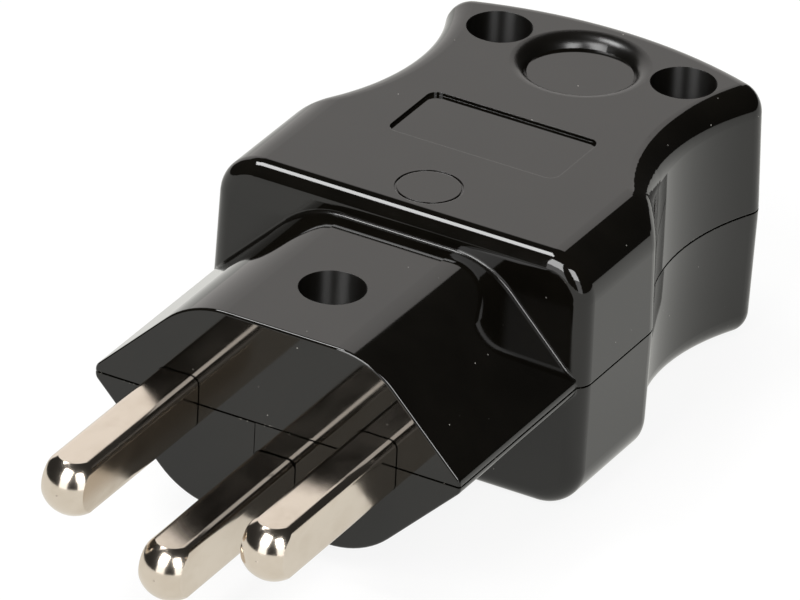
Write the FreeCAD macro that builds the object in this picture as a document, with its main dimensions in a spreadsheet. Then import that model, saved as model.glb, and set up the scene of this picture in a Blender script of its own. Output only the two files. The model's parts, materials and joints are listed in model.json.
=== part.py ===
import FreeCAD, Part
import math
import os
import re
import Sketcher

# Rewirable mains plug: two moulded half shells clamped round three rectangular pins.
# Every piece is drawn about the centre of the pin face on the parting plane: X across the pins,
# Y from the pin face back to the cord, Z up. One shift then stands the plug on its flat underside.

SIZES = {
    # Contact pins and their terminals
    "pin_width": 4.0,
    "pin_height": 5.0,
    "pin_length": 19.6,
    "pin_pitch": 19.0,
    "pin_edge": 0.8,
    "pin_end_room": 0.02,
    "pin_gap": 0.04,
    "earth_drop": 5.0,
    "collar_width": 7.0,
    "collar_length": 3.0,
    "collar_setback": 10.0,
    "eye_width": 7.0,
    "terminal_width": 8.0,
    "terminal_height": 8.0,
    "terminal_length": 11.0,
    "terminal_edge": 0.6,
    "terminal_room": 0.5,
    "wire_bore": 3.2,
    "wire_depth": 8.0,
    "terminal_screw": 3.5,
    "terminal_screw_inset": 5.0,
    "terminal_screw_lift": 1.2,
    # Nose that enters the socket
    "nose_step": 0.65,
    "nose_height": 18.9,
    "nose_length": 19.8,
    "nose_corner": 8.0,
    "nose_tip": 0.2,
    "nose_tip_round": 0.8,
    "nose_edge": 0.25,
    "nose_root": 0.3,
    # Waisted body behind the nose
    "body_width": 36.4,
    "body_rise": 11.65,
    "body_depth": 12.5,
    "body_length": 40.3,
    "side_edge": 4.0,
    "waist_edge": 2.4,
    "end_edge": 1.6,
    "body_draft": 1.2,
    "waist_cut": 4.7,
    "waist_radius": 21.8,
    "waist_setback": 26.2,
    "rear_bow": 3.5,
    # Shells and how they fit
    "shell_wall": 2.4,
    "parting_gap": 0.18,
    "fit_gap": 0.1,
    "barrier_gap": 0.3,
    "tongue_inset": 0.06,
    "tongue_root": 0.5,
    "tongue_lip": 4.0,
    # Fasteners
    "screw_size": 3.0,
    "screw_head": 5.5,
    "head_height": 2.0,
    "head_bevel": 0.3,
    "slot_width": 0.8,
    "slot_depth": 0.9,
    "screw_hole": 3.4,
    "housing_screw_length": 12.0,
    "screw_seat": 3.5,
    "well_width": 5.8,
    "nose_screw_setback": 8.7,
    "rear_screw_pitch": 18.1,
    "rear_screw_inset": 6.7,
    "nut_width": 5.5,
    "nut_height": 2.4,
    "nut_seat": 6.5,
    # Recesses in the upper face
    "dish_width": 12.4,
    "dish_floor": 9.3,
    "dish_depth": 1.0,
    "dish_inset": 8.6,
    "label_width": 16.4,
    "label_length": 8.2,
    "label_depth": 0.3,
    "label_corner": 1.0,
    "label_setback": 16.2,
    "mark_width": 5.9,
    "mark_line": 0.2,
    "mark_depth": 0.12,
    "mark_setback": 5.1,
    # Cord inlet and cord grip
    "inlet_width": 9.5,
    "inlet_flare": 1.0,
    "clamp_width": 6.0,
    "clamp_foot": 3.0,
    "clamp_drop": 0.5,
    "clamp_crown": 1.7,
    "clamp_room": 0.6,
    "clamp_end": 1.2,
    "clamp_screw_pitch": 15.2,
    "clamp_screw_length": 10.0,
}

doc = FreeCAD.newDocument("plug")
dims = doc.addObject("Spreadsheet::Sheet", "dims")
for row, (name, value) in enumerate(SIZES.items(), start=1):
    dims.set(f"A{row}", name)
    dims.set(f"B{row}", str(value))
    dims.setAlias(f"B{row}", name)
doc.recompute()

# Lengths closer than this, in millimetres, are taken as equal
SAME = 1e-4
# An edge that runs less than this across the plug, in millimetres, is taken as upright
UPRIGHT_RUN = 0.01

# Places that several pieces share, as formulas of the sheet's sizes
BODY_REAR = "(nose_length + body_length)"
WAIST_Y = "(nose_length + waist_setback)"
WAIST_HALF = "(body_width / 2 - waist_cut)"
WAIST_X = f"({WAIST_HALF} + waist_radius)"
CHAMBER_FRONT = "(nose_length + shell_wall)"
TERMINAL_FRONT = f"({CHAMBER_FRONT} + terminal_room)"
TERMINAL_REAR = f"({TERMINAL_FRONT} + terminal_length)"
CLAMP_FRONT = f"({WAIST_Y} - clamp_width)"
CHAMBER_REAR = f"({WAIST_Y} + clamp_room)"
REAR_SCREW_Y = f"({BODY_REAR} - rear_screw_inset)"
EARTH_TOP = "(earth_drop - pin_height / 2)"
NOTCH_HALF = "(eye_width / 2 - fit_gap * 2)"
CLAMP_SEAT = "(clamp_foot - clamp_drop)"
CLAMP_HALF = "(clamp_screw_pitch / 2 + screw_hole / 2 + clamp_end)"
REAR_END = f"({BODY_REAR} - (inlet_width / 2 + inlet_flare) * tan(body_draft * 1 deg))"
SHIFT_Y = f"((pin_length - {REAR_END}) / 2)"
SHIFT_Z = "body_depth"


def formula(text):
    """Name the sheet in front of each of its sizes."""
    return re.sub(r"[a-z_]+", lambda word: f"dims.{word[0]}" if word[0] in SIZES else word[0], text)


def number(text):
    """Value of a formula at the sheet's present sizes."""
    return float(dims.evalExpression(formula(text)))


def new_body(label):
    body = doc.addObject("PartDesign::Body", label)
    body.Label = label
    return body


def origin_plane(body, role):
    return next(item for item in body.Origin.OriginFeatures if item.Role == role)


def new_sketch(body, name, role, height="0", across="0"):
    """Sketch on one of the body's own planes, moved along its normal and along its first axis."""
    sketch = body.newObject("Sketcher::SketchObject", name)
    sketch.AttachmentSupport = [(origin_plane(body, role), "")]
    sketch.MapMode = "FlatFace"
    sketch.setExpression("AttachmentOffset.Base.z", formula(height))
    sketch.setExpression("AttachmentOffset.Base.x", formula(across))
    return sketch


def bind(sketch, index, text):
    sketch.setExpression(f"Constraints[{index}]", formula(text))


def pin_point(sketch, element, end, x_text, y_text):
    """Tie one point of the sketch to two formulas, measured from its origin."""
    for kind, text in (("DistanceX", x_text), ("DistanceY", y_text)):
        rule = Sketcher.Constraint(kind, -1, 1, element, end, number(text))
        bind(sketch, sketch.addConstraint(rule), text)


def arc_between(start, end, radius, left):
    """Shorter arc from start to end whose centre lies to the left or right of the way between them."""
    middle = (start + end) * 0.5
    half = (end - start).Length / 2
    reach = math.sqrt(max(radius * radius - half * half, 0.0))
    side = FreeCAD.Vector(-(end - start).y, (end - start).x, 0).normalize()
    centre = middle + side * (reach if left else -reach)
    first, last = (start, end) if left else (end, start)
    angles = [math.atan2(point.y - centre.y, point.x - centre.x) for point in (first, last)]
    circle = Part.Circle(centre, FreeCAD.Vector(0, 0, 1), radius)
    return Part.ArcOfCircle(circle, angles[0], angles[1])


def outline(sketch, corners):
    """Closed outline. A corner is two formulas, and where an arc leads on from it, also the arc's
    radius and the side of its centre."""
    count = len(corners)
    points = [FreeCAD.Vector(number(corner[0]), number(corner[1]), 0) for corner in corners]
    ends = []
    for index, corner in enumerate(corners):
        start, end = points[index], points[(index + 1) % count]
        if len(corner) == 2:
            ends.append((sketch.addGeometry(Part.LineSegment(start, end), False), 1, 2))
            continue
        left = corner[3] == "left"
        radius = number(corner[2])
        arc = sketch.addGeometry(arc_between(start, end, radius, left), False)
        bind(sketch, sketch.addConstraint(Sketcher.Constraint("Radius", arc, radius)), corner[2])
        ends.append((arc, 1, 2) if left else (arc, 2, 1))
    for index, (element, start_end, last_end) in enumerate(ends):
        following = ends[(index + 1) % count]
        joint = Sketcher.Constraint("Coincident", element, last_end, following[0], following[1])
        sketch.addConstraint(joint)
        pin_point(sketch, element, start_end, corners[index][0], corners[index][1])


def rectangle(sketch, left, right, low, high):
    outline(sketch, [(left, low), (right, low), (right, high), (left, high)])


def rounded_rectangle(sketch, half_x, half_y, radius, x_mid="0", y_mid="0"):
    """Rectangle about a middle point, with quarter arcs at its corners."""
    right, left = f"({x_mid} + {half_x})", f"({x_mid} - {half_x})"
    high, low = f"({y_mid} + {half_y})", f"({y_mid} - {half_y})"
    outline(sketch, [
        (f"{left} + {radius}", low),
        (f"{right} - {radius}", low, radius, "left"),
        (right, f"{low} + {radius}"),
        (right, f"{high} - {radius}", radius, "left"),
        (f"{right} - {radius}", high),
        (f"{left} + {radius}", high, radius, "left"),
        (left, f"{high} - {radius}"),
        (left, f"{low} + {radius}", radius, "left"),
    ])


def circle(sketch, x_text, y_text, width):
    centre = FreeCAD.Vector(number(x_text), number(y_text), 0)
    ring = sketch.addGeometry(Part.Circle(centre, FreeCAD.Vector(0, 0, 1), number(width) / 2), False)
    bind(sketch, sketch.addConstraint(Sketcher.Constraint("Diameter", ring, number(width))), width)
    pin_point(sketch, ring, 3, x_text, y_text)


def extrude(body, kind, sketch, length, back=False):
    """Pad along the sketch's normal or Pocket against it, or either the other way."""
    feature = body.newObject(f"PartDesign::{kind}", f"{sketch.Name}_{kind.lower()}")
    feature.Profile = sketch
    feature.setExpression("Length", formula(length))
    feature.Reversed = back
    body.Tip = feature
    return feature


def settle(body):
    """Bring the body up to date before its edges are read."""
    doc.recompute()
    return body.Tip


def round_edges(body, name, radius, wanted):
    """Round the edges of the body that a test picks out."""
    base = settle(body)
    names = [f"Edge{index}" for index, edge in enumerate(base.Shape.Edges, start=1) if wanted(edge)]
    feature = body.newObject("PartDesign::Fillet", name)
    feature.Base = (base, names)
    feature.setExpression("Radius", formula(radius))
    body.Tip = feature
    return feature


def draft_walls(body, name, up):
    """Lean the walls inwards from the parting plane, so that the half leaves its mould."""
    base = settle(body)
    faces = enumerate(base.Shape.Faces, start=1)
    walls = [f"Face{index}" for index, face in faces if face.BoundBox.ZLength > SAME]
    feature = body.newObject("PartDesign::Draft", name)
    feature.Base = (base, walls)
    feature.NeutralPlane = (origin_plane(body, "XY_Plane"), [""])
    feature.Reversed = not up
    feature.setExpression("Angle", formula("body_draft"))
    body.Tip = feature
    return feature


def near(value, text):
    return abs(value - number(text)) < SAME


def mirrored_x(half):
    return (half, f"-({half})")


def chamber_outline(sketch, rear):
    """Room inside the walls, from behind the nose to a given place in the waist."""
    half = "(body_width / 2 - shell_wall)"
    radius = "(waist_radius + shell_wall)"
    bend_y = f"({WAIST_Y} - sqrt({radius} ^ 2 - ({WAIST_X} - {half}) ^ 2))"
    rear_x = f"({WAIST_X} - sqrt({radius} ^ 2 - ({rear} - {WAIST_Y}) ^ 2))"
    outline(sketch, [
        (f"-{half}", CHAMBER_FRONT),
        (half, CHAMBER_FRONT),
        (half, bend_y, radius, "right"),
        (rear_x, rear),
        (f"-{rear_x}", rear, radius, "right"),
        (f"-{half}", bend_y),
    ])


def round_outer_edges(body, label, top):
    """Broad rounds along the sides, smaller ones round the waist, and the smallest on the end faces."""
    side_x = number("body_width / 2")
    front, rear = number("nose_length"), number(f"{BODY_REAR} - rear_bow")
    level = number(top)

    def side_top(edge):
        box = edge.BoundBox
        return box.XLength < SAME and box.ZLength < SAME and abs(box.ZMax - level) < SAME

    round_edges(body, f"{label}_side_round", "side_edge", side_top)

    def waist_rim(edge):
        spot = edge.valueAt((edge.FirstParameter + edge.LastParameter) / 2)
        box = edge.BoundBox
        behind_front = front + number("side_edge") < spot.y < rear - number("end_edge")
        upright = box.ZLength > box.XLength + box.YLength
        curved_top = abs(spot.z - level) < number("side_edge") and box.XLength > 0.1
        return behind_front and abs(spot.x) < side_x and (upright or curved_top)

    round_edges(body, f"{label}_waist_round", "waist_edge", waist_rim)
    faces = settle(body).Shape.Faces
    faces.sort(key=lambda face: face.CenterOfMass.y)
    rims = []
    for edge in faces[0].Edges + faces[-1].Edges:
        box = edge.BoundBox
        if box.ZLength > SAME or abs(box.ZMax - level) < SAME:
            rims.append(edge)

    def end_rim(edge):
        return any(edge.isSame(rim) for rim in rims)

    round_edges(body, f"{label}_end_round", "end_edge", end_rim)


def moulded_half(label, up):
    """Outer form common to both shells: waisted block with drafted walls and the hexagonal nose."""
    sign = "" if up else "-"
    body = new_body(label)
    half_gap = "parting_gap / 2"
    half = "body_width / 2"
    side_y = f"({WAIST_Y} - sqrt(waist_radius ^ 2 - ({WAIST_X} - {half}) ^ 2))"
    corner_y = f"({BODY_REAR} - rear_bow)"
    corner_x = f"({WAIST_X} - sqrt(waist_radius ^ 2 - ({corner_y} - {WAIST_Y}) ^ 2))"
    rear_radius = f"(({corner_x} ^ 2 + rear_bow ^ 2) / (2 * rear_bow))"
    plan = new_sketch(body, f"{label}_plan", "XY_Plane", f"{sign}({half_gap})")
    outline(plan, [
        (f"-{half}", "nose_length"),
        (half, "nose_length"),
        (half, side_y, "waist_radius", "right"),
        (corner_x, corner_y, rear_radius, "left"),
        (f"-{corner_x}", corner_y, "waist_radius", "right"),
        (f"-{half}", side_y),
    ])
    reach = "body_rise" if up else "body_depth"
    extrude(body, "Pad", plan, f"{reach} - {half_gap}", back=not up)
    draft_walls(body, f"{label}_draft", up)
    round_outer_edges(body, label, f"{sign}{reach}")

    # Nose profile, seen from the front: 45 degree flanks, broad rounds above, a blunt tip at the sides
    tip = "(body_width / 2 - nose_step)"
    tip_cut = "(nose_tip_round * (sqrt(2) - 1))"
    corner_cut = "(nose_corner * (sqrt(2) - 1))"
    shoulder = f"({tip} + nose_tip + {tip_cut} - nose_height / 2)"
    side = "left" if up else "right"
    flank = [
        (tip, half_gap),
        (tip, "nose_tip", "nose_tip_round", side),
        (f"{tip} - {tip_cut} * sqrt(0.5)", f"nose_tip + {tip_cut} * (1 + sqrt(0.5))"),
        (f"{shoulder} + {corner_cut} * sqrt(0.5)", f"nose_height / 2 - {corner_cut} * sqrt(0.5)",
         "nose_corner", side),
        (f"{shoulder} - {corner_cut}", "nose_height / 2"),
    ]
    right_half = [(x, f"{sign}({z})", *arc) for x, z, *arc in flank]
    left_half = []
    for index in range(len(flank) - 1, -1, -1):
        arc = flank[index - 1][2:] if index else []
        left_half.append((f"-({flank[index][0]})", f"{sign}({flank[index][1]})", *arc))
    profile = new_sketch(body, f"{label}_nose", "XZ_Plane")
    outline(profile, right_half + left_half)
    extrude(body, "Pad", profile, "nose_length + side_edge", back=True)

    def front_rim(edge):
        box = edge.BoundBox
        on_face = near(box.YMin, "0") and near(box.YMax, "0")
        return on_face and not (box.ZLength < SAME and near(box.ZMin, f"{sign}({half_gap})"))

    round_edges(body, f"{label}_nose_rim", "nose_edge", front_rim)

    def root_line(edge):
        box = edge.BoundBox
        at_front = box.YMin > number("nose_length") - SAME and box.YMax < number("nose_length + end_edge")
        below_top = max(abs(box.ZMin), abs(box.ZMax)) < number("nose_height / 2") + SAME
        return at_front and below_top and box.XLength > UPRIGHT_RUN

    round_edges(body, f"{label}_nose_root", "nose_root", root_line)
    return body


def pin_seats(body, label, up, room):
    """Ways for the two outer pins, close round their section and widened at their collars."""
    for index, x_mid in enumerate(mirrored_x("pin_pitch / 2"), start=1):
        way = new_sketch(body, f"{label}_pin_way{index}", "XZ_Plane", "fit_gap")
        rounded_rectangle(way, "(pin_width / 2 + pin_gap)", f"(pin_height / 2 + {room})",
                          "(pin_edge + pin_gap)", x_mid=x_mid)
        extrude(body, "Pocket", way, f"{CHAMBER_FRONT} + 2 * fit_gap")
        seat = new_sketch(body, f"{label}_collar_seat{index}", "XY_Plane")
        half = "(collar_width / 2 + fit_gap)"
        front, rear = "collar_setback - fit_gap", "collar_setback + collar_length + fit_gap"
        rectangle(seat, f"{x_mid} - {half}", f"{x_mid} + {half}", front, rear)
        extrude(body, "Pocket", seat, f"pin_height / 2 + {room}", back=up)


def cord_way(body, label, front):
    """Half-round way for the cord, flared where it leaves the rear face."""
    way = new_sketch(body, f"{label}_cord_way", "XZ_Plane", f"-({front})")
    circle(way, "0", "0", "inlet_width")
    extrude(body, "Pocket", way, f"{BODY_REAR} - {front} + rear_bow")
    flare = new_sketch(body, f"{label}_cord_flare", "XY_Plane")
    mouth = "inlet_width / 2"
    outline(flare, [
        ("0", f"{BODY_REAR} - inlet_flare"),
        (mouth, f"{BODY_REAR} - inlet_flare", "inlet_flare", "right"),
        (f"{mouth} + inlet_flare", BODY_REAR),
        (f"{mouth} + inlet_flare", f"{BODY_REAR} + inlet_flare"),
        ("0", f"{BODY_REAR} + inlet_flare"),
    ])
    groove = body.newObject("PartDesign::Groove", f"{label}_cord_mouth")
    groove.Profile = flare
    groove.ReferenceAxis = (flare, ["V_Axis"])
    groove.Angle = 360.0
    body.Tip = groove


def screw_places():
    """Middle of the screw in the nose and of the two beside the cord inlet."""
    rear = [(x, REAR_SCREW_Y) for x in mirrored_x("rear_screw_pitch / 2")]
    return [("0", "nose_screw_setback")] + rear


def make_upper_shell():
    label = "upper_shell"
    body = moulded_half(label, up=True)
    room = new_sketch(body, f"{label}_chamber", "XY_Plane")
    chamber_outline(room, CHAMBER_REAR)
    extrude(body, "Pocket", room, "body_rise - shell_wall", back=True)

    # Tongue that closes the slot over the earth pin, and the boss that presses on its eye
    tongue = new_sketch(body, f"{label}_tongue", "XY_Plane", "parting_gap / 2")
    rectangle(tongue, "-pin_width / 2", "pin_width / 2", "tongue_inset", "nose_length")
    extrude(body, "Pad", tongue, f"parting_gap / 2 + {EARTH_TOP} - fit_gap", back=True)
    lip = new_sketch(body, f"{label}_tongue_lip", "XY_Plane", "parting_gap / 2")
    rectangle(lip, "-pin_width / 2", "pin_width / 2", "tongue_inset", "tongue_lip")
    extrude(body, "Pad", lip, f"parting_gap / 2 + {EARTH_TOP} + pin_edge", back=True)
    saddle = new_sketch(body, f"{label}_tongue_saddle", "XZ_Plane", "fit_gap")
    rounded_rectangle(saddle, "(pin_width / 2 + pin_gap)", "(pin_height / 2 + pin_gap)",
                      "(pin_edge + pin_gap)", y_mid="-earth_drop")
    extrude(body, "Pocket", saddle, "tongue_lip + 2 * fit_gap")
    root = new_sketch(body, f"{label}_tongue_root", "XZ_Plane", "fit_gap")
    rectangle(root, "-pin_width", "pin_width", "-parting_gap / 2", "parting_gap / 2")
    extrude(body, "Pocket", root, "tongue_root + fit_gap")
    boss = new_sketch(body, f"{label}_nose_boss", "XY_Plane", "parting_gap / 2")
    circle(boss, "0", "nose_screw_setback", "eye_width - 2 * fit_gap")
    extrude(body, "Pad", boss, f"parting_gap / 2 + {EARTH_TOP}", back=True)
    for index, (x, y) in enumerate(screw_places()[1:], start=1):
        pad = new_sketch(body, f"{label}_rear_boss{index}", "XY_Plane", "parting_gap / 2")
        circle(pad, x, y, "well_width")
        extrude(body, "Pad", pad, "parting_gap / 2", back=True)

    pin_seats(body, label, True, "pin_gap")
    cord_way(body, label, f"{CHAMBER_REAR} - fit_gap")
    for index, (x, y) in enumerate(screw_places(), start=1):
        hole = new_sketch(body, f"{label}_screw_hole{index}", "XY_Plane", f"-{EARTH_TOP} - fit_gap")
        circle(hole, x, y, "screw_hole")
        extrude(body, "Pocket", hole, f"{EARTH_TOP} + 2 * fit_gap + screw_seat", back=True)
        well = new_sketch(body, f"{label}_screw_well{index}", "XY_Plane", "screw_seat")
        circle(well, x, y, "well_width")
        extrude(body, "Pocket", well, "body_rise", back=True)

    # Recesses in the upper face: finger dish, label field and the ring left by an ejector
    dish = new_sketch(body, f"{label}_dish", "YZ_Plane", across=f"{BODY_REAR} - dish_inset")
    top, rim, lip = "body_rise", "dish_width / 2", "((dish_width - dish_floor) / 2)"
    roll = f"(({lip} ^ 2 + dish_depth ^ 2) / (2 * dish_depth))"
    outline(dish, [
        ("0", f"{top} - dish_depth"),
        ("dish_floor / 2", f"{top} - dish_depth", roll, "right"),
        (rim, top),
        (rim, f"{top} + fit_gap"),
        ("0", f"{top} + fit_gap"),
    ])
    bowl = body.newObject("PartDesign::Groove", f"{label}_finger_dish")
    bowl.Profile = dish
    bowl.ReferenceAxis = (dish, ["V_Axis"])
    bowl.Angle = 360.0
    body.Tip = bowl
    field = new_sketch(body, f"{label}_label", "XY_Plane", top)
    rounded_rectangle(field, "label_width / 2", "label_length / 2", "label_corner",
                      y_mid="(nose_length + label_setback)")
    extrude(body, "Pocket", field, "label_depth")
    mark = new_sketch(body, f"{label}_mark", "XY_Plane", top)
    circle(mark, "0", "nose_length + mark_setback", "mark_width")
    circle(mark, "0", "nose_length + mark_setback", "mark_width - 2 * mark_line")
    extrude(body, "Pocket", mark, "mark_depth")
    return body


def make_lower_shell():
    label = "lower_shell"
    body = moulded_half(label, up=False)
    for index, (x, y) in enumerate(screw_places()[1:], start=1):
        pad = new_sketch(body, f"{label}_rear_boss{index}", "XY_Plane", "-parting_gap / 2")
        circle(pad, x, y, "well_width")
        extrude(body, "Pad", pad, "parting_gap / 2")

    # Terminal bays either side of a deeper trough, barriers between them, and the pit for the cores
    trough_half = "(terminal_width / 2 + barrier_gap)"
    bay_inner = "(pin_pitch / 2 - terminal_width / 2 - barrier_gap)"
    bay_outer = "(body_width / 2 - shell_wall)"
    bay_rear = f"({TERMINAL_REAR} + terminal_room)"
    for index, side in enumerate(("", "-"), start=1):
        bay = new_sketch(body, f"{label}_bay{index}", "XY_Plane")
        inner, outer = f"{side}{bay_inner}", f"{side}{bay_outer}"
        corners = [(inner, CHAMBER_FRONT), (outer, CHAMBER_FRONT), (outer, bay_rear), (inner, bay_rear)]
        outline(bay, corners)
        extrude(body, "Pocket", bay, "terminal_height / 2")
    trough = new_sketch(body, f"{label}_trough", "XY_Plane")
    rectangle(trough, f"-{trough_half}", trough_half, CHAMBER_FRONT, f"{bay_rear} + fit_gap")
    extrude(body, "Pocket", trough, "earth_drop + terminal_height / 2")
    pit = new_sketch(body, f"{label}_pit", "XY_Plane")
    pit_half = f"({WAIST_HALF} - shell_wall)"
    rectangle(pit, f"-{pit_half}", pit_half, bay_rear, CLAMP_FRONT)
    extrude(body, "Pocket", pit, "body_depth - shell_wall")

    # Cord grip: flat seats for the clamp either side of the cord way
    grip = new_sketch(body, f"{label}_clamp_seat", "XY_Plane")
    grip_half = f"({CLAMP_HALF} + clamp_room)"
    rectangle(grip, f"-{grip_half}", grip_half, f"{CLAMP_FRONT} - fit_gap", f"{WAIST_Y} + fit_gap")
    extrude(body, "Pocket", grip, "clamp_drop")
    cord_way(body, label, f"{CLAMP_FRONT} - fit_gap")
    for index, x in enumerate(mirrored_x("clamp_screw_pitch / 2"), start=1):
        pilot = new_sketch(body, f"{label}_clamp_pilot{index}", "XY_Plane")
        circle(pilot, x, f"{WAIST_Y} - clamp_width / 2", "screw_size + fit_gap")
        extrude(body, "Pocket", pilot, f"clamp_screw_length - {CLAMP_SEAT} + fit_gap")

    # Pin slots: the earth pin lies deeper, and a raised floor under its eye keys it lengthwise
    pin_seats(body, label, False, "0")
    slot_half = "(pin_width / 2 + pin_gap)"
    slot_front, slot_rear = "-fit_gap", f"{CHAMBER_FRONT} + fit_gap"
    slot = new_sketch(body, f"{label}_earth_slot", "XY_Plane")
    rectangle(slot, f"-{slot_half}", slot_half, slot_front, slot_rear)
    extrude(body, "Pocket", slot, "earth_drop")
    spans = [(slot_front, f"nose_screw_setback - {NOTCH_HALF}"),
             (f"nose_screw_setback + {NOTCH_HALF}", slot_rear)]
    for index, (front, rear) in enumerate(spans, start=1):
        way = new_sketch(body, f"{label}_earth_way{index}", "XZ_Plane", f"-({front})")
        rounded_rectangle(way, slot_half, "(pin_height / 2)", "(pin_edge + pin_gap)", y_mid="-earth_drop")
        extrude(body, "Pocket", way, f"{rear} - ({front})")
    eye = new_sketch(body, f"{label}_eye_seat", "XY_Plane")
    circle(eye, "0", "nose_screw_setback", "eye_width + 2 * fit_gap")
    extrude(body, "Pocket", eye, "earth_drop")

    for index, (x, y) in enumerate(screw_places(), start=1):
        hole = new_sketch(body, f"{label}_screw_hole{index}", "XY_Plane", "fit_gap")
        circle(hole, x, y, "screw_hole")
        extrude(body, "Pocket", hole, "nut_seat + 2 * fit_gap")
        nut = new_sketch(body, f"{label}_nut_pocket{index}", "XY_Plane", "-nut_seat")
        hexagon(nut, x, y, "nut_width + 2 * fit_gap")
        extrude(body, "Pocket", nut, "body_depth")
    return body


def hexagon(sketch, x_mid, y_mid, across_flats):
    """Regular hexagon with two flats parallel to X."""
    reach = f"(({across_flats}) / sqrt(3))"
    rise = f"(({across_flats}) / 2)"
    steps = [(reach, "0"), (f"{reach} / 2", rise), (f"-{reach} / 2", rise),
             (f"-{reach}", "0"), (f"-{reach} / 2", f"-{rise}"), (f"{reach} / 2", f"-{rise}")]
    outline(sketch, [(f"{x_mid} + {dx}", f"{y_mid} + {dy}") for dx, dy in steps])


def make_pin(label, x_text, z_text, earth=False):
    """One brass piece: domed contact pin, shank through the nose, and pillar terminal."""
    body = new_body(label)
    section = new_sketch(body, f"{label}_section", "XZ_Plane", "pin_length")
    rounded_rectangle(section, "pin_width / 2", "pin_height / 2", "pin_edge")
    extrude(body, "Pad", section, f"pin_length + {TERMINAL_FRONT} + terminal_edge", back=True)

    # Ball end that just takes in the rounded corners of the section
    corner = "sqrt((pin_width / 2 - pin_edge) ^ 2 + (pin_height / 2 - pin_edge) ^ 2)"
    ball = f"({corner} + pin_edge + pin_end_room)"
    trim = new_sketch(body, f"{label}_trim", "XY_Plane")
    outline(trim, [
        ("0", "-pin_length"),
        ("0", "-pin_length - pin_edge"),
        (f"{ball} + pin_edge", "-pin_length - pin_edge"),
        (f"{ball} + pin_edge", f"{ball} - pin_length"),
        (ball, f"{ball} - pin_length", ball, "right"),
    ])
    turned = body.newObject("PartDesign::Groove", f"{label}_ball_end")
    turned.Profile = trim
    turned.ReferenceAxis = (trim, ["V_Axis"])
    turned.Angle = 360.0
    body.Tip = turned

    if earth:
        eye = new_sketch(body, f"{label}_eye", "XY_Plane", "pin_height / 2")
        circle(eye, "0", "nose_screw_setback", "eye_width")
        extrude(body, "Pad", eye, "pin_height / 2", back=True)
        notch = new_sketch(body, f"{label}_notch", "XY_Plane")
        half = f"({NOTCH_HALF} + fit_gap)"
        front, rear = f"nose_screw_setback - {half}", f"nose_screw_setback + {half}"
        rectangle(notch, "-pin_width", "pin_width", front, rear)
        extrude(body, "Pocket", notch, "pin_height")
        hole = new_sketch(body, f"{label}_eye_hole", "XY_Plane", "pin_height / 2")
        circle(hole, "0", "nose_screw_setback", "screw_hole")
        extrude(body, "Pocket", hole, "pin_height")
    else:
        collar = new_sketch(body, f"{label}_collar", "XZ_Plane", "-collar_setback")
        rectangle(collar, "-collar_width / 2", "collar_width / 2", "-pin_height / 2", "pin_height / 2")
        extrude(body, "Pad", collar, "collar_length", back=True)

    block = new_sketch(body, f"{label}_block", "XZ_Plane", f"-{TERMINAL_FRONT}")
    rounded_rectangle(block, "terminal_width / 2", "terminal_height / 2", "terminal_edge")
    extrude(body, "Pad", block, "terminal_length", back=True)
    wire = new_sketch(body, f"{label}_wire_bore", "XZ_Plane", f"-{TERMINAL_REAR}")
    circle(wire, "0", "0", "wire_bore")
    extrude(body, "Pocket", wire, "wire_depth", back=True)
    tapped = new_sketch(body, f"{label}_screw_bore", "XY_Plane", "terminal_height / 2")
    circle(tapped, "0", f"{TERMINAL_REAR} - terminal_screw_inset", "terminal_screw + fit_gap")
    extrude(body, "Pocket", tapped, "terminal_height / 2")
    place(body, x_text, "0", z_text)
    return body


def place(piece, x_text, y_text, z_text):
    """Put a piece at a point of the plug, on the shifted ground."""
    piece.setExpression("Placement.Base.x", formula(x_text))
    piece.setExpression("Placement.Base.y", formula(f"{y_text} + {SHIFT_Y}"))
    piece.setExpression("Placement.Base.z", formula(f"{z_text} + {SHIFT_Z}"))


def make_screw(name, size, length, x_text, y_text, z_text):
    """Slotted cheese-head screw, its head seated at the given point and its shank pointing down."""
    body = new_body(name)
    half = new_sketch(body, f"{name}_half", "XZ_Plane")
    shank, head, bevel = f"({size}) / 2", "screw_head / 2", "head_bevel"
    outline(half, [
        ("0", f"-({length})"),
        (f"{shank} - {bevel}", f"-({length})"),
        (shank, f"-({length}) + {bevel}"),
        (shank, "0"),
        (head, "0"),
        (head, f"head_height - {bevel}"),
        (f"{head} - {bevel}", "head_height"),
        ("0", "head_height"),
    ])
    turned = body.newObject("PartDesign::Revolution", f"{name}_turned")
    turned.Profile = half
    turned.ReferenceAxis = (half, ["V_Axis"])
    turned.Angle = 360.0
    body.Tip = turned
    slot = new_sketch(body, f"{name}_slot", "XY_Plane", "head_height")
    rectangle(slot, "-screw_head", "screw_head", "-slot_width / 2", "slot_width / 2")
    extrude(body, "Pocket", slot, "slot_depth")
    place(body, x_text, y_text, z_text)
    return body


def make_nut(name, x_text, y_text):
    body = new_body(name)
    plan = new_sketch(body, f"{name}_plan", "XY_Plane")
    hexagon(plan, "0", "0", "nut_width")
    circle(plan, "0", "0", "screw_size + fit_gap")
    extrude(body, "Pad", plan, "nut_height", back=True)
    place(body, x_text, y_text, "-nut_seat")
    return body


def make_group(label, bodies):
    """Like fasteners in one node, as separate solids."""
    group = doc.addObject("Part::Compound", label)
    group.Label = label
    group.Links = bodies
    return group


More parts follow.
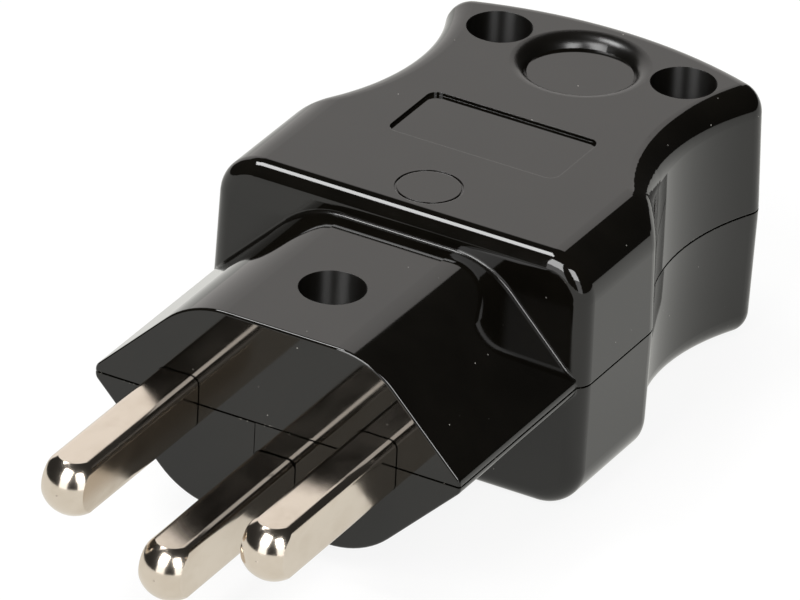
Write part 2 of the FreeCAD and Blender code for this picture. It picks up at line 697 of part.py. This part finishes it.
def make_cord_clamp():
    """Moulded bridge that grips the cord against the lower shell."""
    label = "cord_clamp"
    body = new_body(label)
    crown_half = "(clamp_screw_pitch / 2 - screw_head / 2 - fit_gap)"
    crown = "(inlet_width / 2 + clamp_crown)"
    profile = new_sketch(body, f"{label}_profile", "XZ_Plane", f"-{CLAMP_FRONT}")
    outline(profile, [
        (f"-{CLAMP_HALF}", "-clamp_drop"),
        (CLAMP_HALF, "-clamp_drop"),
        (CLAMP_HALF, CLAMP_SEAT),
        (crown_half, CLAMP_SEAT),
        (f"{crown_half} * 0.7", crown),
        (f"-{crown_half} * 0.7", crown),
        (f"-{crown_half}", CLAMP_SEAT),
        (f"-{CLAMP_HALF}", CLAMP_SEAT),
    ])
    extrude(body, "Pad", profile, "clamp_width", back=True)
    arch = new_sketch(body, f"{label}_arch", "XZ_Plane", f"-{CLAMP_FRONT}")
    circle(arch, "0", "0", "inlet_width")
    extrude(body, "Pocket", arch, "clamp_width")
    for index, x in enumerate(mirrored_x("clamp_screw_pitch / 2"), start=1):
        hole = new_sketch(body, f"{label}_hole{index}", "XY_Plane", CLAMP_SEAT)
        circle(hole, x, f"{WAIST_Y} - clamp_width / 2", "screw_hole")
        extrude(body, "Pocket", hole, "clamp_foot")
    place(body, "0", "0", "0")
    return body


upper_shell = make_upper_shell()
lower_shell = make_lower_shell()
for shell in (upper_shell, lower_shell):
    place(shell, "0", "0", "0")
line_pin = make_pin("line_pin", "-pin_pitch / 2", "0")
neutral_pin = make_pin("neutral_pin", "pin_pitch / 2", "0")
earth_pin = make_pin("earth_pin", "0", "-earth_drop", earth=True)

screw_y = f"{TERMINAL_REAR} - terminal_screw_inset"
screw_z = "terminal_height / 2 + terminal_screw_lift"
reach = "terminal_height / 2 + terminal_screw_lift - wire_bore / 2"
terminal_screws = make_group("terminal_screws", [
    make_screw("line_screw", "terminal_screw", reach, "-pin_pitch / 2", screw_y, screw_z),
    make_screw("neutral_screw", "terminal_screw", reach, "pin_pitch / 2", screw_y, screw_z),
    make_screw("earth_screw", "terminal_screw", reach, "0", screw_y, f"{screw_z} - earth_drop"),
])
housing_screws = make_group("housing_screws", [
    make_screw(f"housing_screw{index}", "screw_size", "housing_screw_length", x, y, "screw_seat")
    for index, (x, y) in enumerate(screw_places(), start=1)
])
housing_nuts = make_group("housing_nuts", [
    make_nut(f"housing_nut{index}", x, y) for index, (x, y) in enumerate(screw_places(), start=1)
])
cord_clamp = make_cord_clamp()
clamp_screws = make_group("clamp_screws", [
    make_screw(f"clamp_screw{index}", "screw_size", "clamp_screw_length", x,
               f"{WAIST_Y} - clamp_width / 2", CLAMP_SEAT)
    for index, x in enumerate(mirrored_x("clamp_screw_pitch / 2"), start=1)
])

nodes = [upper_shell, lower_shell, line_pin, neutral_pin, earth_pin, terminal_screws,
         housing_screws, housing_nuts, cord_clamp, clamp_screws]
doc.recompute()
for item in doc.Objects:
    if "Invalid" in item.State or "Error" in item.State:
        raise RuntimeError(f"{item.Name} did not compute: {item.State}")
for node in nodes:
    if node.Shape.isNull() or not node.Shape.isValid():
        raise RuntimeError(f"{node.Label} has no valid shape")
os.makedirs("parts", exist_ok=True)
for node in nodes:
    node.Shape.exportStep(f"parts/{node.Label}.step")
    print(node.Label, len(node.Shape.Solids), "solids", round(node.Shape.Volume, 2), "mm3")
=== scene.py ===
import json
import math

import bmesh
import bpy
from mathutils import Matrix, Vector

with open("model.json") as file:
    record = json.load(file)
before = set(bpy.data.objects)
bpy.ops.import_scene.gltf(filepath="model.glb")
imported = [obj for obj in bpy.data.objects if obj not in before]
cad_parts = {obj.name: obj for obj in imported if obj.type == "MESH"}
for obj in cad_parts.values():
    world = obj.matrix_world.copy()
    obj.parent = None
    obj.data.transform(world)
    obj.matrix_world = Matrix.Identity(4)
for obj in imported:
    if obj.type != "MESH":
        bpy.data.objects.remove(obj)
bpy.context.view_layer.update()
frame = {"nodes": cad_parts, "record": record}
nodes = frame["nodes"]

# Contact pins: three bars of brass, drawn to a rounded section, turned to a ball at the free end
# and plated with nickel. They lie in slots of the shells, each with a pillar terminal inside, and
# have painted shade, a dark band, where they come out of the nose.
PIN_NICKEL = (0.710, 0.630, 0.540, 1.0)
PIN_NICKEL_DULL = (0.650, 0.565, 0.470, 1.0)
PIN_BRASS = (0.470, 0.340, 0.190, 1.0)
PIN_ROOT_SHADE = (0.012, 0.010, 0.007, 1.0)
PIN_GLOSS = (0.12, 0.18)
contacts = next(mount for mount in frame["record"]["mounts"] if mount["name"] == "contacts")
NOSE_FACE_Y, SEAM_HEIGHT = contacts["pos_m"][1:]
# Span along the pins of the painted shade, a dark band at the nose face
ROOT_SHADE_RISES = (NOSE_FACE_Y - 0.00015, NOSE_FACE_Y - 0.00009)
ROOT_SHADE_FALLS = (NOSE_FACE_Y + 0.00010, NOSE_FACE_Y + 0.00020)

# Sizes are in metres. Tones are the span of a noise over which a second colour or gloss comes in.
EVEN = (1.0, 1.0, 1.0)
MIDDLE_TONES = (0.3, 0.7)
DRAWN_LINES = {"scale": 2600.0, "detail": 3.0, "stretch": (1.0, 0.02, 1.0)}
DRAWN_RELIEF = {"strength": 0.03, "distance": 0.00002}
PLATE_CLOUDS = {"scale": 420.0, "detail": 5.0, "stretch": (1.0, 0.6, 1.0)}
DULL_TONES = (0.45, 0.85)
RUBBED_SPOTS = {"scale": 900.0, "detail": 6.0, "roughness": 0.7}
RUBBED_TONES = (0.70, 0.80)
RUBBED_MOST = 0.5
RUBBED_RELIEF = {"strength": 0.02, "distance": 0.00002}
COLOUR_INPUTS = (6, 7)
COLOUR_OUTPUT = 2


def add_node(tree, kind, **settings):
    """New shader node with some of its settings and socket values filled in."""
    made = tree.nodes.new(kind)
    for name, value in settings.items():
        if hasattr(made, name):
            setattr(made, name, value)
        else:
            made.inputs[name].default_value = value
    return made


def new_finish(name):
    """Empty node material: its tree, its surface shader and the place on the piece in metres."""
    finish = bpy.data.materials.new(name)
    finish.use_nodes = True
    tree = finish.node_tree
    surface = tree.nodes["Principled BSDF"]
    place = add_node(tree, "ShaderNodeTexCoord")
    return finish, tree, surface, place.outputs["Object"]


def split(tree, place):
    """X, Y and Z of the place, each as a value of its own."""
    parts = add_node(tree, "ShaderNodeSeparateXYZ")
    tree.links.new(place, parts.inputs[0])
    return parts.outputs


def grain(tree, place, scale, detail, roughness=0.55, stretch=EVEN):
    """Noise over the piece, stretched along its axes."""
    turn = add_node(tree, "ShaderNodeMapping", Scale=stretch)
    tree.links.new(place, turn.inputs["Vector"])
    noise = add_node(tree, "ShaderNodeTexNoise", Scale=scale, Detail=detail, Roughness=roughness)
    tree.links.new(turn.outputs["Vector"], noise.inputs["Vector"])
    return noise.outputs["Fac"]


def spread(tree, value, low, high, to_low=0.0, to_high=1.0):
    """Stretch a span of one value over another span, held at its ends."""
    node = add_node(tree, "ShaderNodeMapRange")
    for name, number in (("From Min", low), ("From Max", high), ("To Min", to_low), ("To Max", to_high)):
        node.inputs[name].default_value = number
    tree.links.new(value, node.inputs["Value"])
    return node.outputs["Result"]


def blend_colour(tree, share, first, second):
    """Mix of two colours, each a plain colour or another node's output."""
    mix = add_node(tree, "ShaderNodeMix", data_type="RGBA")
    tree.links.new(share, mix.inputs["Factor"])
    for index, colour in zip(COLOUR_INPUTS, (first, second)):
        if isinstance(colour, tuple):
            mix.inputs[index].default_value = colour
        else:
            tree.links.new(colour, mix.inputs[index])
    return mix.outputs[COLOUR_OUTPUT]


def combine(tree, operation, first, second):
    """Two values joined by an operation; the second may be a plain number."""
    node = add_node(tree, "ShaderNodeMath", operation=operation)
    tree.links.new(first, node.inputs[0])
    if isinstance(second, (int, float)):
        node.inputs[1].default_value = second
    else:
        tree.links.new(second, node.inputs[1])
    return node.outputs[0]


def band(tree, value, rises, falls):
    """0 before the span where it rises, then 1, and 0 again after the span where it falls."""
    start = spread(tree, value, *rises)
    end = spread(tree, value, *falls, to_low=1.0, to_high=0.0)
    return combine(tree, "MULTIPLY", start, end)


def relief(tree, surface, height, strength, distance):
    """Bump on top of any bump that the surface already has."""
    bump = add_node(tree, "ShaderNodeBump", Strength=strength, Distance=distance)
    tree.links.new(height, bump.inputs["Height"])
    if surface.inputs["Normal"].links:
        tree.links.new(surface.inputs["Normal"].links[0].from_socket, bump.inputs["Normal"])
    tree.links.new(bump.outputs["Normal"], surface.inputs["Normal"])


def dress(node_name, finish):
    """Give a CAD node its finish."""
    piece = nodes[node_name]
    piece.data.materials.clear()
    piece.data.materials.append(finish)


nickel, tree, surface, place = new_finish("nickel_plate")
surface.inputs["Metallic"].default_value = 1.0
drawn = grain(tree, place, **DRAWN_LINES)
cloud = grain(tree, place, **PLATE_CLOUDS)
rubbed = grain(tree, place, **RUBBED_SPOTS)
tint = blend_colour(tree, spread(tree, cloud, *DULL_TONES), PIN_NICKEL, PIN_NICKEL_DULL)
tint = blend_colour(tree, spread(tree, rubbed, *RUBBED_TONES, to_high=RUBBED_MOST), tint, PIN_BRASS)
# Painted shade: the pins are darkened in a narrow band where they go into the nose face
shaded_root = band(tree, split(tree, place)["Y"], ROOT_SHADE_RISES, ROOT_SHADE_FALLS)
tint = blend_colour(tree, shaded_root, tint, PIN_ROOT_SHADE)
tree.links.new(tint, surface.inputs["Base Color"])
tree.links.new(spread(tree, cloud, *MIDDLE_TONES, *PIN_GLOSS), surface.inputs["Roughness"])
relief(tree, surface, drawn, **DRAWN_RELIEF)
relief(tree, surface, rubbed, **RUBBED_RELIEF)
for name in ("line_pin", "neutral_pin", "earth_pin"):
    dress(name, nickel)

# Steel fasteners: slotted screws turned from rod and hexagon nuts, zinc plated. The short ones clamp
# the cord's cores in the pins, the long ones pull the two shells together, two hold the cord clamp.
ZINC = (0.560, 0.555, 0.530, 1.0)
ZINC_DULL = (0.400, 0.395, 0.370, 1.0)
ZINC_GLOSS = (0.22, 0.42)
ZINC_BLOOM = {"scale": 700.0, "detail": 6.0, "roughness": 0.65}
BLOOM_TONES = (0.35, 0.7)
TURNED_LINES = {"scale": 3000.0, "detail": 2.0, "stretch": (1.0, 1.0, 0.05)}
TURNED_RELIEF = {"strength": 0.12, "distance": 0.00003}

zinc, tree, surface, place = new_finish("zinc_plate")
surface.inputs["Metallic"].default_value = 1.0
bloom = grain(tree, place, **ZINC_BLOOM)
turned = grain(tree, place, **TURNED_LINES)
tint = blend_colour(tree, spread(tree, bloom, *BLOOM_TONES), ZINC, ZINC_DULL)
tree.links.new(tint, surface.inputs["Base Color"])
tree.links.new(spread(tree, bloom, *MIDDLE_TONES, *ZINC_GLOSS), surface.inputs["Roughness"])
relief(tree, surface, turned, **TURNED_RELIEF)
for name in ("terminal_screws", "housing_screws", "housing_nuts", "clamp_screws"):
    dress(name, zinc)

# Cord clamp: a bridge pressed in dull black plastic. Its two screws draw it down inside the waist,
# over the cord that comes in at the rear.
CLAMP_BLACK = (0.020, 0.020, 0.020, 1.0)
CLAMP_GREY = (0.038, 0.037, 0.036, 1.0)
CLAMP_GLOSS = (0.42, 0.60)
PRESSED_GRAIN = {"scale": 1500.0, "detail": 5.0}
PRESSED_RELIEF = {"strength": 0.15, "distance": 0.00003}

dull_plastic, tree, surface, place = new_finish("dull_black_plastic")
pressed = grain(tree, place, **PRESSED_GRAIN)
tree.links.new(blend_colour(tree, pressed, CLAMP_BLACK, CLAMP_GREY), surface.inputs["Base Color"])
tree.links.new(spread(tree, pressed, *MIDDLE_TONES, *CLAMP_GLOSS), surface.inputs["Roughness"])
relief(tree, surface, pressed, **PRESSED_RELIEF)
dress("cord_clamp", dull_plastic)

# Housing: two half shells of black thermoset, pressed in polished moulds, so their faces mirror the
# room. They meet at mid height, with painted glints for a hair of flash on the edges, and take fine
# dust.
SHELL_BLACK = (0.0020, 0.0017, 0.0012, 1.0)
SHELL_WARM = (0.0034, 0.0029, 0.0021, 1.0)
SHELL_IOR = 1.52
SHELL_GLOSS = (0.040, 0.070)
SHELL_FLOW = {"scale": 160.0, "detail": 4.0}
WARM_TONES = (0.35, 0.7)
SHELL_HAZE = {"scale": 600.0, "detail": 6.0, "roughness": 0.7, "stretch": (1.0, 0.5, 1.0)}
HAZE_TONES = (0.35, 0.75)
SHELL_PEEL = {"scale": 380.0, "detail": 2.0, "roughness": 0.4}
PEEL_RELIEF = {"strength": 0.012, "distance": 0.00002}
EDGE_ROUND = 0.00007
EDGE_SAMPLES = 6
EDGE_RISES = (NOSE_FACE_Y + 0.0002, NOSE_FACE_Y + 0.0005)

thermoset, tree, surface, place = new_finish("black_thermoset")
surface.inputs["IOR"].default_value = SHELL_IOR
parts_of_place = split(tree, place)
along = parts_of_place["Y"]
flow = grain(tree, place, **SHELL_FLOW)
body_colour = blend_colour(tree, spread(tree, flow, *WARM_TONES), SHELL_BLACK, SHELL_WARM)
gloss = spread(tree, grain(tree, place, **SHELL_HAZE), *HAZE_TONES, *SHELL_GLOSS)

# Edges: a hair-fine round everywhere behind the nose face, under the faint peel of the moulding
soft_edge = add_node(tree, "ShaderNodeBevel", samples=EDGE_SAMPLES)
tree.links.new(spread(tree, along, *EDGE_RISES, to_high=EDGE_ROUND), soft_edge.inputs["Radius"])
tree.links.new(soft_edge.outputs["Normal"], surface.inputs["Normal"])
relief(tree, surface, grain(tree, place, **SHELL_PEEL), **PEEL_RELIEF)

# Fine dust: lone specks at the seeds of a cell pattern, kept where a coarse noise peaks
DUST = (0.26, 0.25, 0.23, 1.0)
SPECK_CELLS = 620.0
SPECK_EDGE = (0.030, 0.050)
DUSTY_PATCHES = {"scale": 300.0, "detail": 3.0}
DUSTY_TONES = (0.54, 0.60)

seed = add_node(tree, "ShaderNodeTexVoronoi", Scale=SPECK_CELLS)
tree.links.new(place, seed.inputs["Vector"])
speck = spread(tree, seed.outputs["Distance"], *SPECK_EDGE, to_low=1.0, to_high=0.0)
dusty = spread(tree, grain(tree, place, **DUSTY_PATCHES), *DUSTY_TONES)
body_colour = blend_colour(tree, combine(tree, "MULTIPLY", speck, dusty), body_colour, DUST)

# Flash: painted highlights, broken pale glints where the edges of the seam between the shells catch
# light
SEAM_GLINT = (0.115, 0.110, 0.095, 1.0)
GLINT_CRUMBS = {"scale": 2100.0, "detail": 4.0}
GLINT_TONES = (0.60, 0.68)
GLINT_REACH = (0.00014, 0.00018)

above_seam = combine(tree, "SUBTRACT", parts_of_place["Z"], SEAM_HEIGHT)
from_seam = combine(tree, "ABSOLUTE", above_seam, 0.0)
near_seam = spread(tree, from_seam, *GLINT_REACH, to_low=1.0, to_high=0.0)
glints = spread(tree, grain(tree, place, **GLINT_CRUMBS), *GLINT_TONES)
# Painted highlight: the pale glints are blended into the shells' colour along the seam
body_colour = blend_colour(tree, combine(tree, "MULTIPLY", glints, near_seam), body_colour, SEAM_GLINT)
tree.links.new(body_colour, surface.inputs["Base Color"])

# Wells, dish and nose root: duller than the faces. The wells are shaped by turned core pins, whose
# fine rings draw a highlight out along the well.
WELLS = ((0.0, -0.01149), (-0.00905, 0.03321), (0.00905, 0.03321))
WELL_RADIUS = 0.00296
WELL_GLOSS = 0.45
WELL_TURNED = 0.95
DISH = ((0.0, 0.03131),)
DISH_RIM = 0.00620
DISH_FLOOR = 0.00465
DISH_GLOSS = 0.26
ROUND_FADE = 0.00003
ROOT_RISES = (-0.00069, -0.00066)
ROOT_FALLS = (-0.00024, -0.00021)
ROOT_GLOSS = 0.20


def round_share(tree, place, centres, radius):
    """1 inside upright cylinders of one radius and 0 elsewhere."""
    flat = add_node(tree, "ShaderNodeVectorMath", operation="MULTIPLY")
    flat.inputs[1].default_value = (1.0, 1.0, 0.0)
    tree.links.new(place, flat.inputs[0])
    inside = None
    for x, y in centres:
        gap = add_node(tree, "ShaderNodeVectorMath", operation="DISTANCE")
        gap.inputs[1].default_value = (x, y, 0.0)
        tree.links.new(flat.outputs["Vector"], gap.inputs[0])
        share = spread(tree, gap.outputs["Value"], radius - ROUND_FADE, radius, 1.0, 0.0)
        inside = share if inside is None else combine(tree, "MAXIMUM", inside, share)
    return inside


in_well = round_share(tree, place, WELLS, WELL_RADIUS)
in_rim = round_share(tree, place, DISH, DISH_RIM)
in_lip = combine(tree, "SUBTRACT", in_rim, round_share(tree, place, DISH, DISH_FLOOR))
in_root = band(tree, along, ROOT_RISES, ROOT_FALLS)
for share, dullness in ((in_well, WELL_GLOSS), (in_lip, DISH_GLOSS), (in_root, ROOT_GLOSS)):
    gloss = combine(tree, "MAXIMUM", gloss, combine(tree, "MULTIPLY", share, dullness))
tree.links.new(gloss, surface.inputs["Roughness"])
upright = add_node(tree, "ShaderNodeCombineXYZ", Z=1.0)
tree.links.new(upright.outputs[0], surface.inputs["Tangent"])
tree.links.new(combine(tree, "MULTIPLY", in_well, WELL_TURNED), surface.inputs["Anisotropic"])
for name in ("lower_shell", "upper_shell"):
    dress(name, thermoset)

# Table: a wide sheet of white paper that the plug stands on. It is lit from below, so little of the
# plug's own shadow stays on it, and the gloss of the shells shows it a little dimmer and warmer.
TABLE_WHITE = (0.10, 0.10, 0.098, 1.0)
TABLE_SHOWN = (1.0, 1.0, 1.0, 1.0), 0.88
TABLE_MIRRORED = (1.0, 0.995, 0.945, 1.0), 0.72
TABLE_REACH = 4.0


def bare_tree(holder):
    """Node tree of a new material or room, with nothing in it."""
    holder.use_nodes = True
    holder.node_tree.nodes.clear()
    return holder.node_tree


def end_with(tree, kind, shader):
    """Lead a shader to the tree's output."""
    result = add_node(tree, kind)
    tree.links.new(shader.outputs[0], result.inputs["Surface"])


def flat_sheet(name, corners, finish):
    """One flat sheet with four corners."""
    form = bmesh.new()
    form.faces.new([form.verts.new(corner) for corner in corners])
    mesh = bpy.data.meshes.new(name)
    form.to_mesh(mesh)
    form.free()
    mesh.materials.append(finish)
    sheet = bpy.data.objects.new(name, mesh)
    bpy.context.scene.collection.objects.link(sheet)
    return sheet


paper = bpy.data.materials.new("white_table")
tree = bare_tree(paper)
table_light = add_node(tree, "ShaderNodeBsdfDiffuse", Color=TABLE_WHITE)
path = add_node(tree, "ShaderNodeLightPath")
for ray, (colour, strength) in (("Is Camera Ray", TABLE_SHOWN), ("Is Glossy Ray", TABLE_MIRRORED)):
    glow = add_node(tree, "ShaderNodeEmission", Color=colour)
    tree.links.new(combine(tree, "MULTIPLY", path.outputs[ray], strength), glow.inputs["Strength"])
    both = add_node(tree, "ShaderNodeAddShader")
    tree.links.new(table_light.outputs[0], both.inputs[0])
    tree.links.new(glow.outputs[0], both.inputs[1])
    table_light = both
end_with(tree, "ShaderNodeOutputMaterial", table_light)

table_corners = [Vector((x, y, 0.0)) * TABLE_REACH for x, y in ((-1, -1), (1, -1), (1, 1), (-1, 1))]
table_top = flat_sheet("table", table_corners, paper)

# Sweep: a tall white cloth, lit from behind, that stands across the table beyond the plug. Only the
# gloss of the plug shows it, as the pale light on the top of the housing.
SWEEP_WHITE = (1.0, 0.965, 0.935, 1.0)
SWEEP_GLOW = 1.06
SWEEP_DISTANCE = 1.2
SWEEP_LEFT = 0.90
SWEEP_RIGHT = 0.36
SWEEP_HEIGHT = 1.0
CAMERA_BEARING = 28.07956


def toward(azimuth, elevation):
    """Direction from the plug: azimuth 0 is in front of the pins and 90 to the right."""
    turn, rise = math.radians(azimuth), math.radians(elevation)
    return Vector((math.sin(turn) * math.cos(rise), -math.cos(turn) * math.cos(rise), math.sin(rise)))


lit_cloth = bpy.data.materials.new("white_sweep")
tree = bare_tree(lit_cloth)
shine = add_node(tree, "ShaderNodeEmission", Color=SWEEP_WHITE, Strength=SWEEP_GLOW)
end_with(tree, "ShaderNodeOutputMaterial", shine)

away = -toward(CAMERA_BEARING, 0.0)
across = Vector((away.y, -away.x, 0.0))
foot = away * SWEEP_DISTANCE
sweep_corners = [foot - across * SWEEP_LEFT, foot + across * SWEEP_RIGHT]
sweep_corners += [corner + Vector((0.0, 0.0, SWEEP_HEIGHT)) for corner in reversed(sweep_corners)]
sweep_wall = flat_sheet("sweep", sweep_corners, lit_cloth)
sweep_wall.visible_camera = False

# Lamps: one soft box overhead to the left, and two tall ones either side of the camera, each of a
# bright upper and a dim lower panel. Each has its azimuth and elevation in degrees, its distance,
# its width and height, and its watts.
LAMPS = {
    "overhead": ((-85.0, 65.0), 0.75, (0.25, 0.25), 2.6),
    "front_left": ((-9.0, 43.0), 0.90, (0.43, 0.55), 6.5),
    "front_left_low": ((-9.0, 13.0), 0.90, (0.43, 0.42), 1.0),
    "front_right": ((49.0, 39.0), 0.90, (0.35, 0.42), 4.2),
    "front_right_low": ((49.0, 13.0), 0.90, (0.35, 0.42), 0.8),
}

for name, (angles, distance, size, power) in LAMPS.items():
    lamp = bpy.data.lights.new(name, "AREA")
    lamp.shape = "RECTANGLE"
    lamp.size, lamp.size_y = size
    lamp.energy = power
    holder = bpy.data.objects.new(name, lamp)
    way = toward(*angles)
    holder.location = way * distance
    holder.rotation_mode = "QUATERNION"
    holder.rotation_quaternion = way.to_track_quat("Z", "Y")
    holder.visible_camera = False
    bpy.context.scene.collection.objects.link(holder)

# Room: white to the eye beyond the table, nearly dark in the gloss of the plug, so that only the
# lamps, the table and the sweep show there, and a weak even fill for everything else.
ROOM_FILL = (1.0, 1.0, 1.0, 1.0), 0.35
ROOM_MIRRORED = (1.0, 0.98, 0.95, 1.0), 0.03
ROOM_SHOWN = (1.0, 1.0, 1.0, 1.0), 1.0


def room_light(tree, light):
    """Even light from all round, given as its colour and strength."""
    colour, strength = light
    return add_node(tree, "ShaderNodeBackground", Color=colour, Strength=strength)


room = bpy.data.worlds.new("studio")
bpy.context.scene.world = room
tree = bare_tree(room)
path = add_node(tree, "ShaderNodeLightPath")
room_mix = room_light(tree, ROOM_FILL)
for ray, light in (("Is Glossy Ray", ROOM_MIRRORED), ("Is Camera Ray", ROOM_SHOWN)):
    either = add_node(tree, "ShaderNodeMixShader")
    tree.links.new(path.outputs[ray], either.inputs[0])
    tree.links.new(room_mix.outputs[0], either.inputs[1])
    tree.links.new(room_light(tree, light).outputs[0], either.inputs[2])
    room_mix = either
end_with(tree, "ShaderNodeOutputWorld", room_mix)

# Camera: a long lens on a stand, looking down on the plug from beyond its right front corner and
# tilted a little to one side.
CAMERA_AIM = Vector((0.006016, -0.010741, 0.022316))
CAMERA_DISTANCE = 1.0
CAMERA_ELEVATION = 29.25730
CAMERA_ROLL = 2.92732
CAMERA_LENS = 540.99
CAMERA_SENSOR = 36.0
CAMERA_NEAR = 0.05
CAMERA_FAR = 50.0

lens = bpy.data.cameras.new("camera")
lens.lens = CAMERA_LENS
lens.sensor_width = CAMERA_SENSOR
lens.sensor_fit = "HORIZONTAL"
lens.clip_start, lens.clip_end = CAMERA_NEAR, CAMERA_FAR
viewer = bpy.data.objects.new("camera", lens)
back = toward(CAMERA_BEARING, CAMERA_ELEVATION)
stand = Matrix.Translation(CAMERA_AIM + back * CAMERA_DISTANCE)
level = back.to_track_quat("Z", "Y").to_matrix().to_4x4()
viewer.matrix_world = stand @ level @ Matrix.Rotation(math.radians(CAMERA_ROLL), 4, "Z")
bpy.context.scene.collection.objects.link(viewer)
bpy.context.scene.camera = viewer
bpy.context.scene.view_settings.view_transform = "Standard"
